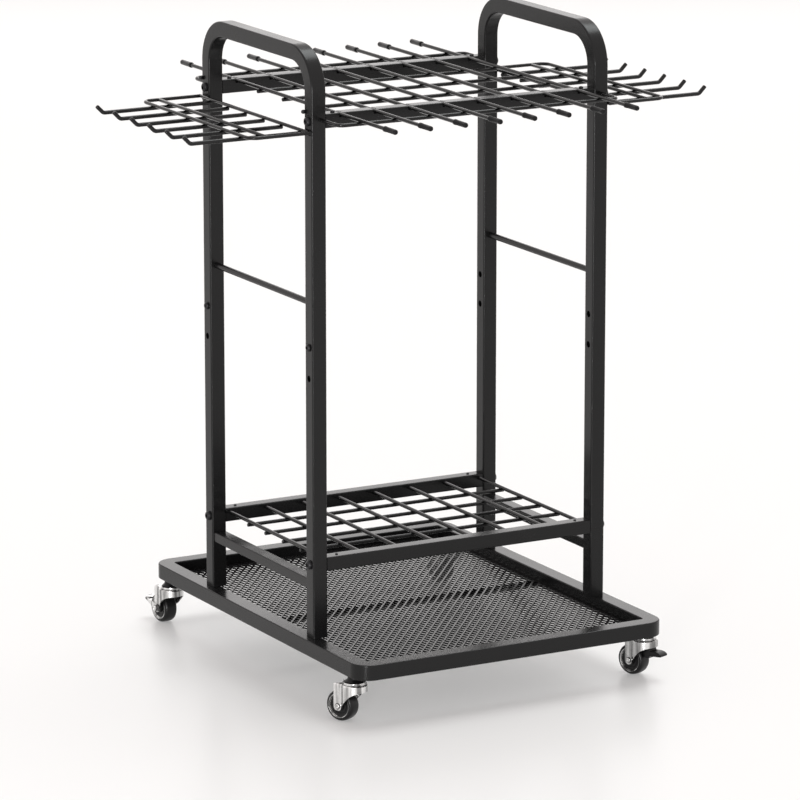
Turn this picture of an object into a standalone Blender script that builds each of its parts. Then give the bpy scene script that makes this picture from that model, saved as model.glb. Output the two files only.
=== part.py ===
"""Garden tool cart: a steel tube rack on a mesh tray that rolls on four swivel casters.

X runs from the left side frame to the right one, Y from the front to the back, and Z up from the floor.
The origin is on the floor, below the middle of the whole cart's outline.
"""

import math

import bmesh
import bpy
from mathutils import Vector

MM = 0.001
GAP = 0.3 * MM            # air left between pieces that touch
WELD = 0.4 * MM           # how far crossed wires sink into each other
OVERCUT = 5 * MM          # how far a cutter runs past the face that it cuts
MERGE = 0.001 * MM        # corners closer than this become one
SHARP_ANGLE = math.radians(35)

# Tray
RIM_BOTTOM = 60 * MM
RIM_HEIGHT = 20 * MM
RIM_WIDTH = 22 * MM
RIM_WALL = 1.5 * MM
RIM_CORNER = 25 * MM
RIM_CORNER_STEPS = 6
TRAY_HALF_X = 221 * MM
TRAY_HALF_Y = 288 * MM
MESH_DROP = 14 * MM       # from the rim's top to the sheet's top
MESH_THICK = 1.5 * MM
DIAMOND_LONG = 56 * MM    # pitch of the openings along X
DIAMOND_SHORT = 38 * MM   # pitch of the openings along Y
DIAMOND_OPEN = 0.8        # share of the pitch that is open
MESH_BORDER = 5 * MM
BAR_WIDTH = 18 * MM
BAR_HEIGHT = 4 * MM

# Side frames
POST = 20 * MM
POST_WALL = 1.2 * MM
POST_CORNER = 2 * MM
POST_INSET = 10 * MM      # from the rim's outer face to the post's outer face
FRAME_HALF_Y = 149 * MM   # to the posts' outer faces
HANDLE_RISE = 81 * MM     # from the top rails' top to the handle's top
HANDLE_BEND = 45 * MM     # radius at the tube's centre line
HANDLE_STEPS = 6
SPARE_HOLE_Z = 412 * MM
MID_BOLT_Z = 450 * MM
CROSSBAR_WIDTH = 17 * MM
CROSSBAR_HEIGHT = 13 * MM
CROSSBAR_WALL = 1.2 * MM
CROSSBAR_Z = 141 * MM     # its lower face
CROSSBAR_INSET = 2 * MM   # from the post's outer face
MID_ROD = 8 * MM
MID_ROD_SIDES = 12
MID_ROD_Z = 505 * MM

# Rails and their bolts
RAIL = 18 * MM
RAIL_WALL = 1.2 * MM
RAIL_END = 3 * MM         # the plate that closes each end and holds the bolt
LOWER_RAIL_TOP = 183 * MM
TOP_RAIL_TOP = 744 * MM
BOLT_DROP = 9 * MM        # from the rail's top to the bolt's axis
BOLT = 6 * MM
BOLT_HEAD = 9.6 * MM
BOLT_HEAD_HEIGHT = 3 * MM
BOLT_HEAD_CROWN = 0.7     # share of the head's radius that stays flat
BOLT_GRIP = 8 * MM        # how far the shank reaches into the rail
BOLT_STEPS = 8

# Grids
WIRE = 4.5 * MM
WIRE_SIDES = 6
GRID_WIRE_COUNT = 8
LOWER_INSET = 5.2 * MM    # from the rails' ends to the outer wires' centres
LOWER_DROP = 5 * MM       # from the rail's top to the wires' centre
LOWER_CROSS_PITCH = 48 * MM
LOWER_CROSS_COUNT = 4
TOP_INSET = 20.95 * MM
TOP_CROSS_PITCH = 68 * MM
TOP_CROSS_COUNT = 3
CROSS_OVERHANG = 4 * MM   # past the last wire's centre
WIRE_TIP_Y = 288 * MM     # to the end caps' tips
BRACE_Y = 195 * MM
BRACE_INSET = 3 * MM      # from the post's centre to the brace wire's leg
BRACE_BEND = 9 * MM
BEND_STEPS = 3
CAP = 7.6 * MM
CAP_LENGTH = 29 * MM
CAP_ROUND = 1.6 * MM
CAP_SIDES = 6

# Side hook racks, measured out from the posts' outer faces
RACK_DROP = 21.5 * MM     # from the top rails' top to the rack's wires
RACK_WIRE = 4 * MM
RACK_MID = 61 * MM
RACK_OUT = 84 * MM
RACK_BEND = 12 * MM
HOOK_WIRE = 5.3 * MM
HOOK_COUNT = 6
HOOK_PITCH = 48.5 * MM
HOOK_ELBOW = 152 * MM
HOOK_TIP = 13 * MM
HOOK_TIP_ANGLE = math.radians(45)
HOOK_BEND = 6 * MM

# Casters; local Y is the direction in which the wheel trails behind the stem
STEM_FROM_END = 34 * MM   # from the tray's front or back face
TRAIL = 18 * MM
WHEEL_RADIUS = 20 * MM
WHEEL_WIDTH = 18 * MM
WHEEL_SHOULDER = 3.5 * MM
WHEEL_SHOULDER_STEPS = 2
HUB_RADIUS = 6.5 * MM
RECESS_RADIUS = 14.5 * MM
RECESS_DEPTH = 2.5 * MM
WHEEL_STEPS = 16
AXLE = 6 * MM
AXLE_HEAD = 9 * MM
AXLE_HEAD_HEIGHT = 1.3 * MM
AXLE_HEAD_CROWN = 0.75    # share of the head's radius that stays flat
AXLE_STEPS = 10
SHEET = 1.6 * MM          # the yoke's pressed steel
YOKE_DISH = 16.5 * MM     # outer radius round the stem
YOKE_TOP = 49.5 * MM
YOKE_SKIRT = 7 * MM
YOKE_DISH_STEPS = 12
YOKE_DISH_START = 20      # degrees at which the dish leaves each leg
YOKE_EDGE_START = 0.3     # share of the dish's radius, in front of the stem
YOKE_EDGE = [(0, 0), (0.35, 0.1), (0.62, 0.3), (0.83, 0.55), (0.96, 0.8)]  # from skirt to leg, as shares
LEG_CLEARANCE = 0.4 * MM  # between the wheel's side and the leg
LEG_END = 6 * MM          # radius of the leg's end round the axle
LEG_END_STEPS = 6
STUD = 8 * MM
COLLAR = 14 * MM
DUST_DISC = 23 * MM
DUST_DISC_HEIGHT = 1.5 * MM
RACE = 30 * MM
RACE_HEIGHT = 3 * MM
KINGPIN = 8 * MM
KINGPIN_HEAD = 15 * MM
KINGPIN_HEAD_HEIGHT = 2.5 * MM
STEM_STEPS = 12
CASTER_TURN = {           # from straight back, turned towards the left
    "front_left": math.radians(25),
    "front_right": math.radians(20),
    "back_left": math.radians(6),
    "back_right": math.radians(12),
}

# Foot brakes
FORK_SHEET = 1.5 * MM
FORK_EYE = 4.8 * MM       # radius round the axle
FORK_EYE_ARC = (100, 290)
FORK_EYE_STEPS = 6
PEDAL_REACH = 34 * MM     # back from the axle
PEDAL_BRIDGE = 21.5 * MM  # from the axle to the front edge of the plate that joins the arms
PEDAL_RISE = 7 * MM       # from the axle up to the pedal's underside
PEDAL_THICK = 2 * MM
PEDAL_TIP = 13 * MM       # width
BLOCK_WIDTH = 14 * MM
BLOCK_PIVOT_Y = -9.5 * MM
BLOCK_PIVOT_Z = 44 * MM
BLOCK_PIN = 3 * MM
BLOCK_REACH = 31 * MM     # forward from the stem
BLOCK_BOTTOM = 26 * MM
BLOCK_TOP_DROP = 0.5 * MM  # from the pin's axis down to the block's top
BLOCK_BROW = 1.6 * MM     # from the pin's axis back to where the top starts to slope
BLOCK_HEEL = 5 * MM       # from the pin's axis back to the rear face
BLOCK_HEEL_HEIGHT = 10 * MM
BLOCK_PEDAL_TOP = 8.5 * MM     # heights above the block's lower face
BLOCK_PEDAL_TIP = 6.5 * MM
BLOCK_PEDAL_BOTTOM = 5 * MM
BLOCK_PEDAL_ROUND = 1 * MM
BLOCK_CHIN = 3.5 * MM
BLOCK_CHIN_SLOPE = 2.5 * MM

# Worked out from the sizes above
RIM_TOP = RIM_BOTTOM + RIM_HEIGHT
MESH_TOP = RIM_TOP - MESH_DROP
FRAME_HALF_X = TRAY_HALF_X - POST_INSET
POST_X = FRAME_HALF_X - POST / 2
POST_Y = FRAME_HALF_Y - POST / 2
POST_BOTTOM = RIM_TOP + GAP
HANDLE_TOP = TOP_RAIL_TOP + HANDLE_RISE
RAIL_HALF_LENGTH = FRAME_HALF_X - POST - GAP
LOWER_PITCH = 2 * (RAIL_HALF_LENGTH - LOWER_INSET) / (GRID_WIRE_COUNT - 1)
TOP_PITCH = 2 * (RAIL_HALF_LENGTH - TOP_INSET) / (GRID_WIRE_COUNT - 1)
BOLT_HOLE = BOLT + 2 * GAP
WIRE_CORNER = WIRE / 2 / math.cos(math.pi / WIRE_SIDES)
RAIL_SLOT = 2 * (WIRE_CORNER + GAP)
TOP_WIRE_Z = TOP_RAIL_TOP - WIRE / 2
RACK_Z = TOP_RAIL_TOP - RACK_DROP
STEM_X = TRAY_HALF_X - RIM_WIDTH / 2
STEM_Y = TRAY_HALF_Y - STEM_FROM_END
LEG_INNER = WHEEL_WIDTH / 2 + LEG_CLEARANCE
LEG_OUTER = LEG_INNER + SHEET
PLATE_BOTTOM = YOKE_TOP - SHEET
BACK_TURN = CASTER_TURN["back_left"]
PEDAL_END_Y = (TRAIL + PEDAL_REACH) * math.cos(BACK_TURN) + PEDAL_TIP / 2 * math.sin(BACK_TURN)
BACK_REACH = STEM_Y + PEDAL_END_Y
FRONT_REACH = max(TRAY_HALF_Y, WIRE_TIP_Y)
CART_Y = (FRONT_REACH - BACK_REACH) / 2


def clear_scene():
    for thing in list(bpy.data.objects):
        bpy.data.objects.remove(thing, do_unlink=True)


def material(name, colour, roughness, metallic):
    paint = bpy.data.materials.new(name)
    paint.use_nodes = True
    shader = paint.node_tree.nodes["Principled BSDF"]
    shader.inputs["Base Color"].default_value = (*colour, 1.0)
    shader.inputs["Roughness"].default_value = roughness
    shader.inputs["Metallic"].default_value = metallic
    return paint


def empty(name, parent=None, place=(0, 0, 0), turn=0.0):
    holder = bpy.data.objects.new(name, None)
    holder.location = place
    holder.rotation_euler.z = turn
    holder.parent = parent
    bpy.context.scene.collection.objects.link(holder)
    return holder


def make_object(name, shape, parent, look=None, place=(0, 0, 0)):
    """Turns a bmesh, drawn round its own origin, into a named object at a place under its parent."""
    mesh = bpy.data.meshes.new(name)
    shape.to_mesh(mesh)
    shape.free()
    mesh.shade_smooth()
    mesh.set_sharp_from_angle(angle=SHARP_ANGLE)
    thing = bpy.data.objects.new(name, mesh)
    thing.parent = parent
    thing.location = place
    bpy.context.scene.collection.objects.link(thing)
    if look:
        mesh.materials.append(look)
    return thing


def combine(target, shape, operation):
    """Joins or cuts a target with a bmesh that is drawn round the target's own origin."""
    name = f"{target.name}_{operation.lower()}_{len(target.modifiers)}"
    tool = make_object(name, shape, target.parent)
    tool.location = target.location
    tool.hide_render = True
    tool.display_type = "WIRE"
    step = target.modifiers.new(operation.title(), "BOOLEAN")
    step.solver = "EXACT"
    step.operation = operation
    step.object = tool


def cut(target, shape):
    combine(target, shape, "DIFFERENCE")


def join(target, shape):
    combine(target, shape, "UNION")


def merged(*shapes):
    """One bmesh with all the given closed shapes in it."""
    together = bmesh.new()
    for shape in shapes:
        scratch = bpy.data.meshes.new("scratch")
        shape.to_mesh(scratch)
        shape.free()
        together.from_mesh(scratch)
        bpy.data.meshes.remove(scratch)
    return together


def face_out(shape):
    """Points all faces of one closed body outwards."""
    bmesh.ops.recalc_face_normals(shape, faces=shape.faces[:])
    if shape.calc_volume(signed=True) < 0:
        bmesh.ops.reverse_faces(shape, faces=shape.faces[:])
    return shape


def box(low, high):
    shape = bmesh.new()
    bmesh.ops.create_cube(shape, size=1)
    low, high = Vector(low), Vector(high)
    middle, span = (low + high) / 2, high - low
    for vert in shape.verts:
        vert.co = middle + Vector(part * size for part, size in zip(vert.co, span))
    return shape


def plate(outline, holes, low, high):
    """Plate between two heights; its outline and its holes are lists of (x, y)."""
    shape = bmesh.new()
    for loop in [outline, *holes]:
        corners = [shape.verts.new((x, y, low)) for x, y in loop]
        for first, second in zip(corners, corners[1:] + corners[:1]):
            shape.edges.new((first, second))
    bmesh.ops.triangle_fill(shape, use_beauty=True, edges=shape.edges[:])
    grown = bmesh.ops.extrude_face_region(shape, geom=shape.faces[:])
    top = [item for item in grown["geom"] if isinstance(item, bmesh.types.BMVert)]
    bmesh.ops.translate(shape, verts=top, vec=(0, 0, high - low))
    return face_out(shape)


def side_plate(outline, low_x, high_x):
    """Plate that stands on edge between two x values; its outline is a list of (y, z)."""
    shape = plate(outline, [], low_x, high_x)
    for vert in shape.verts:
        vert.co = (vert.co.z, vert.co.x, vert.co.y)
    return face_out(shape)


def arc(centre, radius, start, end, steps):
    """Points on an arc, both ends included; angles are in degrees."""
    points = []
    for step in range(steps + 1):
        angle = math.radians(start + (end - start) * step / steps)
        points.append((centre[0] + radius * math.cos(angle), centre[1] + radius * math.sin(angle)))
    return points


def rounded_rectangle(half_x, half_y, radius, steps):
    x, y = half_x - radius, half_y - radius
    return (
        arc((x, y), radius, 0, 90, steps)
        + arc((-x, y), radius, 90, 180, steps)
        + arc((-x, -y), radius, 180, 270, steps)
        + arc((x, -y), radius, 270, 360, steps)
    )


def rectangle(half_x, half_y):
    return [(half_x, half_y), (-half_x, half_y), (-half_x, -half_y), (half_x, -half_y)]


def circle(radius, sides):
    """Regular polygon round a circle, with a flat at the top and at the bottom."""
    corner = radius / math.cos(math.pi / sides)
    half_side = math.degrees(math.pi / sides)
    start = 90 - half_side
    return arc((0, 0), corner, start, start + math.degrees(math.tau), sides)[:-1]


def sweep(path, side, profile):
    """Closed solid that carries a profile along a flat path; side is the normal of the path's plane."""
    path = [Vector(point) for point in path]
    side = Vector(side)
    shape = bmesh.new()
    rings = []
    for index, point in enumerate(path):
        into = (point - path[max(index - 1, 0)]).normalized()
        out = (path[min(index + 1, len(path) - 1)] - point).normalized()
        along = (into + out).normalized()
        normal = side.cross(along)
        stretch = 1 / max(along.dot(into or out), along.dot(out or into))
        rings.append([shape.verts.new(point + normal * a * stretch + side * b) for a, b in profile])
    for ring, following in zip(rings, rings[1:]):
        for index in range(len(profile)):
            after = (index + 1) % len(profile)
            shape.faces.new((ring[index], ring[after], following[after], following[index]))
    shape.faces.new(rings[0])
    shape.faces.new(rings[-1])
    return face_out(shape)


def straight_wire(start, end, diameter, sides=WIRE_SIDES):
    flat = end[0] - start[0] or end[1] - start[1]
    side = (0, 0, 1) if flat else (1, 0, 0)
    return sweep([start, end], side, circle(diameter / 2, sides))


def turned(profile, steps, axis="Z"):
    """Solid turned round an axis; the profile is a list of (radius, place along the axis)."""
    shape = bmesh.new()
    points = [shape.verts.new((radius, 0, along)) for radius, along in profile]
    pairs = list(zip(points, points[1:]))
    if profile[0][0] > 0:
        pairs.append((points[-1], points[0]))
    edges = [shape.edges.new(pair) for pair in pairs]
    bmesh.ops.spin(
        shape, geom=points + edges, cent=(0, 0, 0), axis=(0, 0, 1), angle=math.tau, steps=steps)
    bmesh.ops.remove_doubles(shape, verts=shape.verts[:], dist=MERGE)
    if axis == "X":
        for vert in shape.verts:
            vert.co = (vert.co.z, vert.co.x, vert.co.y)
    return face_out(shape)


def rod_x(centre, radius, low_x, high_x, steps):
    """Plain round bar along X, used for pins and for drilling."""
    shape = turned([(0, low_x), (radius, low_x), (radius, high_x), (0, high_x)], steps, "X")
    bmesh.ops.translate(shape, verts=shape.verts[:], vec=(0, *centre))
    return shape


def centred(count, pitch):
    """Places of a row of equal pieces, centred on zero."""
    return [(index - (count - 1) / 2) * pitch for index in range(count)]


def build_tray(cart, black, mesh_black):
    outer = rounded_rectangle(TRAY_HALF_X, TRAY_HALF_Y, RIM_CORNER, RIM_CORNER_STEPS)
    inner = rectangle(TRAY_HALF_X - RIM_WIDTH, TRAY_HALF_Y - RIM_WIDTH)
    rim = make_object("tray_rim", plate(outer, [inner], RIM_BOTTOM, RIM_TOP), cart, black)
    hollow_outer = rounded_rectangle(
        TRAY_HALF_X - RIM_WALL, TRAY_HALF_Y - RIM_WALL, RIM_CORNER - RIM_WALL, RIM_CORNER_STEPS)
    hollow_inner = rectangle(TRAY_HALF_X - RIM_WIDTH + RIM_WALL, TRAY_HALF_Y - RIM_WIDTH + RIM_WALL)
    cut(rim, plate(hollow_outer, [hollow_inner], RIM_BOTTOM + RIM_WALL, RIM_TOP - RIM_WALL))
    stud_holes = []
    for x in (-STEM_X, STEM_X):
        for y in (-STEM_Y, STEM_Y):
            hole = [(x + a, y + b) for a, b in circle(STUD / 2 + GAP, STEM_STEPS)]
            stud_holes.append(plate(hole, [], RIM_BOTTOM - OVERCUT, RIM_BOTTOM + RIM_WALL + OVERCUT))
    cut(rim, merged(*stud_holes))

    half_x = TRAY_HALF_X - RIM_WIDTH - GAP
    half_y = TRAY_HALF_Y - RIM_WIDTH - GAP
    diamonds = []
    rows = int(2 * half_y / DIAMOND_SHORT) * 2
    columns = int(2 * half_x / DIAMOND_LONG) * 2
    reach_x, reach_y = DIAMOND_LONG / 2 * DIAMOND_OPEN, DIAMOND_SHORT / 2 * DIAMOND_OPEN
    limit_x, limit_y = half_x - MESH_BORDER - reach_x, half_y - MESH_BORDER - reach_y
    for row, y in enumerate(centred(rows - 1, DIAMOND_SHORT / 2)):
        for column, x in enumerate(centred(columns - 1, DIAMOND_LONG / 2)):
            if (row + column) % 2 == 0 and abs(x) < limit_x and abs(y) < limit_y:
                diamonds.append([(x + reach_x, y), (x, y + reach_y), (x - reach_x, y), (x, y - reach_y)])
    sheet = plate(rectangle(half_x, half_y), diamonds, MESH_TOP - MESH_THICK, MESH_TOP)
    make_object("tray_mesh", sheet, cart, mesh_black)

    bar_top = MESH_TOP - MESH_THICK - GAP
    bar = box((-half_x, -BAR_WIDTH / 2, bar_top - BAR_HEIGHT), (half_x, BAR_WIDTH / 2, bar_top))
    make_object("mesh_support_bar", bar, cart, black)


def handle_path(x, bottom):
    """Centre line of one side frame, from the foot of one post over the handle to the other foot."""
    shoulder = HANDLE_TOP - POST / 2 - HANDLE_BEND
    bend_y = POST_Y - HANDLE_BEND
    front = arc((-bend_y, shoulder), HANDLE_BEND, 180, 90, HANDLE_STEPS)
    back = arc((bend_y, shoulder), HANDLE_BEND, 90, 0, HANDLE_STEPS)
    return [(x, y, z) for y, z in [(-POST_Y, bottom), *front, *back, (POST_Y, bottom)]]


def build_side_frame(cart, black, name, sign):
    x = sign * POST_X
    outer = rounded_rectangle(POST / 2, POST / 2, POST_CORNER, 1)
    bore = rectangle(POST / 2 - POST_WALL, POST / 2 - POST_WALL)
    tube = sweep(handle_path(x, POST_BOTTOM), (1, 0, 0), outer)
    frame = make_object(f"{name}_side_frame", tube, cart, black)
    cut(frame, sweep(handle_path(x, POST_BOTTOM - OVERCUT), (1, 0, 0), bore))
    heights = [LOWER_RAIL_TOP - BOLT_DROP, SPARE_HOLE_Z, MID_BOLT_Z, TOP_RAIL_TOP - BOLT_DROP]
    reach = POST / 2 + OVERCUT
    cut(frame, merged(*[
        rod_x((y, z), BOLT_HOLE / 2, x - reach, x + reach, BOLT_STEPS)
        for y in (-POST_Y, POST_Y) for z in heights]))

    between = FRAME_HALF_Y - POST - GAP
    outer_x = FRAME_HALF_X - CROSSBAR_INSET
    low_x, high_x = sorted((sign * outer_x, sign * (outer_x - CROSSBAR_WIDTH)))
    bar = box((low_x, -between, CROSSBAR_Z), (high_x, between, CROSSBAR_Z + CROSSBAR_HEIGHT))
    crossbar = make_object(f"{name}_lower_crossbar", bar, cart, black)
    cut(crossbar, box(
        (low_x + CROSSBAR_WALL, -between - OVERCUT, CROSSBAR_Z + CROSSBAR_WALL),
        (high_x - CROSSBAR_WALL, between + OVERCUT, CROSSBAR_Z + CROSSBAR_HEIGHT - CROSSBAR_WALL)))
    rod = straight_wire((x, -between, MID_ROD_Z), (x, between, MID_ROD_Z), MID_ROD, MID_ROD_SIDES)
    make_object(f"{name}_mid_rod", rod, cart, black)


def build_rail(cart, black, name, y, top):
    """Square rail between the posts, with an end plate at each end that takes the bolt."""
    half = RAIL / 2
    body = box((-RAIL_HALF_LENGTH, y - half, top - RAIL), (RAIL_HALF_LENGTH, y + half, top))
    rail = make_object(name, body, cart, black)
    inside = half - RAIL_WALL
    hollow = RAIL_HALF_LENGTH - RAIL_END
    cut(rail, box((-hollow, y - inside, top - RAIL + RAIL_WALL), (hollow, y + inside, top - RAIL_WALL)))
    reach = RAIL_HALF_LENGTH + OVERCUT
    cut(rail, merged(*[
        rod_x((y, top - BOLT_DROP), BOLT_HOLE / 2, low, high, BOLT_STEPS)
        for low, high in ((-reach, -hollow + OVERCUT), (hollow - OVERCUT, reach))]))
    return rail


def build_rails(cart, black):
    for name, y in (("front", -POST_Y), ("back", POST_Y)):
        build_rail(cart, black, f"{name}_lower_rail", y, LOWER_RAIL_TOP)
        rail = build_rail(cart, black, f"{name}_top_rail", y, TOP_RAIL_TOP)
        notches = [
            box((x - RAIL_SLOT / 2, y - RAIL, TOP_RAIL_TOP - WIRE - GAP),
                (x + RAIL_SLOT / 2, y + RAIL, TOP_RAIL_TOP + OVERCUT))
            for x in centred(GRID_WIRE_COUNT, TOP_PITCH)]
        cut(rail, merged(*notches))


def build_bolts(cart, dark):
    """Bolts that go through the posts into the rails' ends; the head is outside."""
    length = POST + GAP + BOLT_GRIP
    radius = BOLT_HEAD / 2
    profile = [
        (0, -length),
        (BOLT / 2, -length),
        (BOLT / 2, GAP),
        (radius, GAP),
        (radius, GAP + BOLT_HEAD_HEIGHT / 2),
        (radius * BOLT_HEAD_CROWN, GAP + BOLT_HEAD_HEIGHT),
        (0, GAP + BOLT_HEAD_HEIGHT),
    ]
    for side, sign in (("left", -1), ("right", 1)):
        for end, y in (("front", -POST_Y), ("back", POST_Y)):
            for level, top in (("lower", LOWER_RAIL_TOP), ("top", TOP_RAIL_TOP)):
                bolt = turned([(r, sign * along) for r, along in profile], BOLT_STEPS, "X")
                place = (sign * FRAME_HALF_X, y, top - BOLT_DROP)
                make_object(f"{end}_{side}_{level}_bolt", bolt, cart, dark, place)


def build_lower_grid(cart, black):
    z = LOWER_RAIL_TOP - LOWER_DROP
    end_y = FRAME_HALF_Y - (POST - RAIL) / 2 - RAIL - GAP
    long_wires = [
        straight_wire((x, -end_y, z), (x, end_y, z), WIRE) for x in centred(GRID_WIRE_COUNT, LOWER_PITCH)]
    grid = make_object("lower_grid", merged(*long_wires), cart, black)
    cross_z = z - WIRE + WELD
    end_x = (GRID_WIRE_COUNT - 1) / 2 * LOWER_PITCH + CROSS_OVERHANG
    join(grid, merged(*[
        straight_wire((-end_x, y, cross_z), (end_x, y, cross_z), WIRE)
        for y in centred(LOWER_CROSS_COUNT, LOWER_CROSS_PITCH)]))


def brace_path(sign, z):
    """Wire in front of or behind the posts, its ends bent back to meet the posts' faces."""
    x = POST_X - BRACE_INSET
    foot = FRAME_HALF_Y + GAP
    corner = BRACE_Y - BRACE_BEND
    right = arc((x - BRACE_BEND, corner), BRACE_BEND, 0, 90, BEND_STEPS)
    left = arc((BRACE_BEND - x, corner), BRACE_BEND, 90, 180, BEND_STEPS)
    flat = [(x, foot), *right, *left, (-x, foot)]
    return [(a, sign * b, z) for a, b in flat]


def build_top_grid(cart, black, plastic):
    end_y = WIRE_TIP_Y - CAP_ROUND - GAP
    long_wires = [
        straight_wire((x, -end_y, TOP_WIRE_Z), (x, end_y, TOP_WIRE_Z), WIRE)
        for x in centred(GRID_WIRE_COUNT, TOP_PITCH)]
    grid = make_object("top_grid", merged(*long_wires), cart, black)
    cross_z = TOP_WIRE_Z - WIRE + WELD
    end_x = (GRID_WIRE_COUNT - 1) / 2 * TOP_PITCH + CROSS_OVERHANG
    crossing = [
        straight_wire((-end_x, y, cross_z), (end_x, y, cross_z), WIRE)
        for y in centred(TOP_CROSS_COUNT, TOP_CROSS_PITCH)]
    crossing += [
        sweep(brace_path(sign, cross_z), (0, 0, 1), circle(WIRE / 2, WIRE_SIDES)) for sign in (-1, 1)]
    join(grid, merged(*crossing))

    cap_radius, bore = CAP / 2, WIRE / 2 + GAP
    corner_bore = bore / math.cos(math.pi / CAP_SIDES)
    profile = [
        (0, 0),
        (cap_radius - CAP_ROUND, 0),
        (cap_radius, -CAP_ROUND),
        (cap_radius, -CAP_LENGTH),
        (corner_bore, -CAP_LENGTH),
        (corner_bore, -CAP_ROUND),
        (0, -CAP_ROUND),
    ]
    for end, sign in (("front", -1), ("back", 1)):
        for number, x in enumerate(centred(GRID_WIRE_COUNT, TOP_PITCH), start=1):
            cap = turned(profile, CAP_SIDES)
            for vert in cap.verts:
                vert.co = (vert.co.x, sign * vert.co.z, vert.co.y)
            place = (x, sign * WIRE_TIP_Y, TOP_WIRE_Z)
            make_object(f"{end}_wire_cap_{number}", face_out(cap), cart, plastic, place)


def hook_path(sign, y, z, start):
    """One hook, straight out from the posts and turned up at its tip."""
    elbow = FRAME_HALF_X + HOOK_ELBOW
    back_off = HOOK_BEND * math.tan(HOOK_TIP_ANGLE / 2)
    end_angle = math.degrees(HOOK_TIP_ANGLE) - 90
    bend = arc((elbow - back_off, HOOK_BEND), HOOK_BEND, -90, end_angle, BEND_STEPS)
    tip = (elbow + HOOK_TIP * math.cos(HOOK_TIP_ANGLE), HOOK_TIP * math.sin(HOOK_TIP_ANGLE))
    return [(sign * a, y, z + rise) for a, rise in [(start, 0), *bend, tip]]


def build_hook_rack(cart, black, name, sign):
    inner_x = FRAME_HALF_X + GAP + RACK_WIRE / 2
    middle_x = FRAME_HALF_X + RACK_MID
    outer_x = FRAME_HALF_X + RACK_OUT
    round_wire = circle(RACK_WIRE / 2, WIRE_SIDES)
    corner_x, corner_y = outer_x - RACK_BEND, FRAME_HALF_Y - RACK_BEND
    back = arc((corner_x, corner_y), RACK_BEND, 90, 0, BEND_STEPS)
    front = arc((corner_x, -corner_y), RACK_BEND, 0, -90, BEND_STEPS)
    flat = [(inner_x, FRAME_HALF_Y), *back, *front, (inner_x, -FRAME_HALF_Y)]
    loop = sweep([(sign * x, y, RACK_Z) for x, y in flat], (0, 0, 1), round_wire)
    rack = make_object(f"{name}_hook_rack", loop, cart, black)
    join(rack, merged(*[
        straight_wire((sign * x, -end, RACK_Z), (sign * x, end, RACK_Z), RACK_WIRE)
        for x, end in ((inner_x, FRAME_HALF_Y + RACK_WIRE / 2), (middle_x, FRAME_HALF_Y))]))
    hook_z = RACK_Z - RACK_WIRE / 2 - HOOK_WIRE / 2 + WELD
    round_hook = circle(HOOK_WIRE / 2, WIRE_SIDES)
    join(rack, merged(*[
        sweep(hook_path(sign, y, hook_z, inner_x - RACK_WIRE / 2), (0, 1, 0), round_hook)
        for y in centred(HOOK_COUNT, HOOK_PITCH)]))


def stem_shape():
    """Stud, collar, dust disc, race and kingpin, turned as one piece."""
    stud_top = RIM_TOP - RIM_WALL - GAP
    collar_top = RIM_BOTTOM - GAP
    race_bottom = YOKE_TOP + GAP
    race_top = race_bottom + RACE_HEIGHT
    disc_top = race_top + DUST_DISC_HEIGHT
    head_top = PLATE_BOTTOM - GAP
    return turned([
        (0, stud_top),
        (STUD / 2, stud_top),
        (STUD / 2, collar_top),
        (COLLAR / 2, collar_top),
        (COLLAR / 2, disc_top),
        (DUST_DISC / 2, disc_top),
        (DUST_DISC / 2, race_top),
        (RACE / 2, race_top),
        (RACE / 2, race_bottom),
        (KINGPIN / 2, race_bottom),
        (KINGPIN / 2, head_top),
        (KINGPIN_HEAD / 2, head_top),
        (KINGPIN_HEAD / 2, head_top - KINGPIN_HEAD_HEIGHT),
        (0, head_top - KINGPIN_HEAD_HEIGHT),
    ], STEM_STEPS)


def yoke_outline(inset, rear):
    """Plan of the yoke: a round dish in front that narrows to two flat legs behind."""
    leg = LEG_OUTER - inset
    dish = arc((0, 0), YOKE_DISH - inset, YOKE_DISH_START, -180 - YOKE_DISH_START, YOKE_DISH_STEPS)
    return [(leg, rear), (leg, TRAIL - LEG_END), *dish, (-leg, TRAIL - LEG_END), (-leg, rear)]


def build_yoke(name, holder, zinc):
    rear = TRAIL + LEG_END
    axle_z = WHEEL_RADIUS
    solid = plate(yoke_outline(0, rear), [], axle_z - LEG_END - OVERCUT, YOKE_TOP)
    yoke = make_object(name, solid, holder, zinc)
    cut(yoke, plate(yoke_outline(SHEET, rear + OVERCUT), [], 0, PLATE_BOTTOM))
    skirt = YOKE_TOP - YOKE_SKIRT
    front = (-YOKE_DISH - OVERCUT, skirt)
    leg_front = TRAIL - LEG_END
    start_y = -YOKE_EDGE_START * YOKE_DISH
    edge = [(start_y + (leg_front - start_y) * a, skirt + (axle_z - skirt) * b) for a, b in YOKE_EDGE]
    leg_end = arc((TRAIL, axle_z), LEG_END, 180, 360, LEG_END_STEPS)
    below = [front, *edge, *leg_end, (rear + OVERCUT, axle_z), (rear + OVERCUT, 0), (front[0], 0)]
    wide = YOKE_DISH + OVERCUT
    cut(yoke, side_plate(below, -wide, wide))
    kingpin = circle(KINGPIN / 2 + GAP, STEM_STEPS)
    kingpin_hole = plate(kingpin, [], PLATE_BOTTOM - OVERCUT, YOKE_TOP + OVERCUT)
    axle_hole = rod_x((TRAIL, axle_z), AXLE / 2 + GAP, -wide, wide, AXLE_STEPS)
    cut(yoke, merged(kingpin_hole, axle_hole))
    return yoke


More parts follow.
